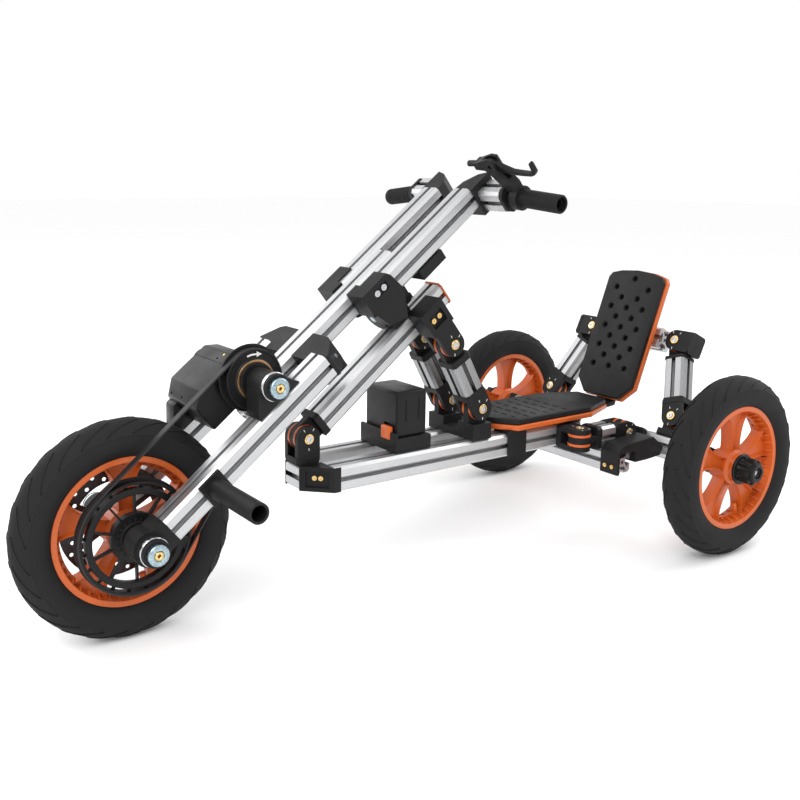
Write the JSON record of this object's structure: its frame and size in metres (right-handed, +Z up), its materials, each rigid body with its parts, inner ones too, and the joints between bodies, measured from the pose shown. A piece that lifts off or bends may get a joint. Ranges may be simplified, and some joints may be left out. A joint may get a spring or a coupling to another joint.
{
  "type": "chopper tricycle",
  "caption": "Low chopper-style electric tricycle of slotted aluminium profiles: belt-driven steered front wheel on a long raked fork, friction-hinge joints, moulded seat.",
  "frame": {"origin": "on the ground under the middle of the overall box, midway between the axles and between the sides", "axes": "+Z is up, the front wheel points along -Y, +X is the rider's left side"},
  "size_m": [0.6932, 1.3014, 0.6847],
  "materials": {
    "profile_aluminium": "satin",
    "strut_aluminium": "satin",
    "black_plastic": "fine grain",
    "orange_plastic": "satin",
    "steel": "brushed",
    "zinc_steel": "zinc plated",
    "gold_screw": "polished",
    "tyre_rubber": "matte",
    "belt_rubber": "matte",
    "grip_rubber": "matte",
    "dark_metal": "satin",
    "cell_wrap": "gloss"
  },
  "bodies": {
    "frame": {"base_rails": "profile_aluminium", "cross_members": "profile_aluminium", "front_corner_brackets": "black_plastic", "hinge_sleeves": "black_plastic", "hinge_blocks": "black_plastic", "hinge_discs": "orange_plastic", "hinge_bolts": "steel", "down_tube": "profile_aluminium", "down_tube_cap": "orange_plastic", "strut_base_block": "black_plastic", "hinge_struts": "strut_aluminium", "head_barrel": "black_plastic", "battery_tray": "black_plastic", "seat_pan_shell": "orange_plastic", "seat_pan_pad": "black_plastic", "backrest_shell": "orange_plastic", "backrest_pad": "black_plastic", "seat_brackets": "black_plastic", "short_profiles": "profile_aluminium", "rear_cross_beams": "profile_aluminium", "rear_gussets": "black_plastic", "rear_axle_blocks": "black_plastic", "rear_axles": "steel", "rear_knobs": "black_plastic", "frame_screws": "gold_screw", "rear_bearings": "steel"},
    "fork": {"central_beam": "profile_aluminium", "handlebar_beams": "profile_aluminium", "lower_legs": "profile_aluminium", "beam_connectors": "black_plastic", "head_connectors": "black_plastic", "steering_knuckles": "black_plastic", "fork_axles": "zinc_steel", "axle_rings": "steel", "axle_brackets": "black_plastic", "foot_pegs": "black_plastic", "handlebar_brackets": "black_plastic", "handlebar_profiles": "profile_aluminium", "grip_flanges": "black_plastic", "left_grip": "grip_rubber", "brake_perch": "black_plastic", "drive_housing": "black_plastic", "drive_motor": "steel", "drive_belt": "belt_rubber", "fork_screws": "steel"},
    "front_wheel": {"front_tyre": "tyre_rubber", "front_rim": "orange_plastic", "belt_pulley": "black_plastic", "brake_disc": "dark_metal", "front_bearings": "steel"},
    "drive_pulley": {"drive_disc": "black_plastic"},
    "rear_wheel_left": {"rear_tyre_left": "tyre_rubber", "rear_rim_left": "orange_plastic"},
    "rear_wheel_right": {"rear_tyre_right": "tyre_rubber", "rear_rim_right": "orange_plastic"},
    "throttle": {"throttle_grip": "grip_rubber"},
    "lever": {"brake_lever": "dark_metal"},
    "battery": {"battery_pack": "black_plastic", "battery_cells": "cell_wrap"},
    "latch": {"battery_latch": "orange_plastic"}
  },
  "joints": [
    {"name": "steering", "type": "hinge", "parent": "frame", "child": "fork", "pos_m": [0, -0.03955, 0.44454], "axis": [0, 0.7826, 0.6225], "range_deg": [-25, 25]},
    {"name": "front_wheel_spin", "type": "hinge", "parent": "fork", "child": "front_wheel", "pos_m": [0, -0.492, 0.15875], "axis": [1, 0, 0], "continuous": true},
    {"name": "drive_disc_spin", "type": "hinge", "parent": "fork", "child": "drive_pulley", "pos_m": [0, -0.30887, 0.36064], "axis": [1, 0, 0], "continuous": true},
    {"name": "rear_left_spin", "type": "hinge", "parent": "frame", "child": "rear_wheel_left", "pos_m": [0.288, 0.492, 0.15875], "axis": [1, 0, 0], "continuous": true},
    {"name": "rear_right_spin", "type": "hinge", "parent": "frame", "child": "rear_wheel_right", "pos_m": [-0.288, 0.492, 0.15875], "axis": [1, 0, 0], "continuous": true},
    {"name": "throttle_twist", "type": "hinge", "parent": "fork", "child": "throttle", "pos_m": [-0.17155, 0.12089, 0.61392], "axis": [0.9925, -0.0759, 0.0954], "range_deg": [0, 60], "stiffness_Nm_per_rad": 0.2, "springref_deg": -20.05},
    {"name": "brake_lever_pull", "type": "hinge", "parent": "fork", "child": "lever", "pos_m": [0.112, 0.07774, 0.66816], "axis": [0, 0.7826, 0.6225], "range_deg": [0, 12], "stiffness_Nm_per_rad": 1, "springref_deg": -8.02},
    {"name": "battery_lift", "type": "slide", "parent": "frame", "child": "battery", "axis": [0, 0, 1], "range_m": [0, 0.03]},
    {"name": "latch_press", "type": "slide", "parent": "frame", "child": "latch", "axis": [0, 1, 0], "range_m": [0, 0.003], "stiffness_N_per_m": 300, "springref_m": -0.005}
  ],
  "couplings": [
    {"joint": "drive_disc_spin", "follows": "front_wheel_spin", "ratio": 1.8736}
  ]
}
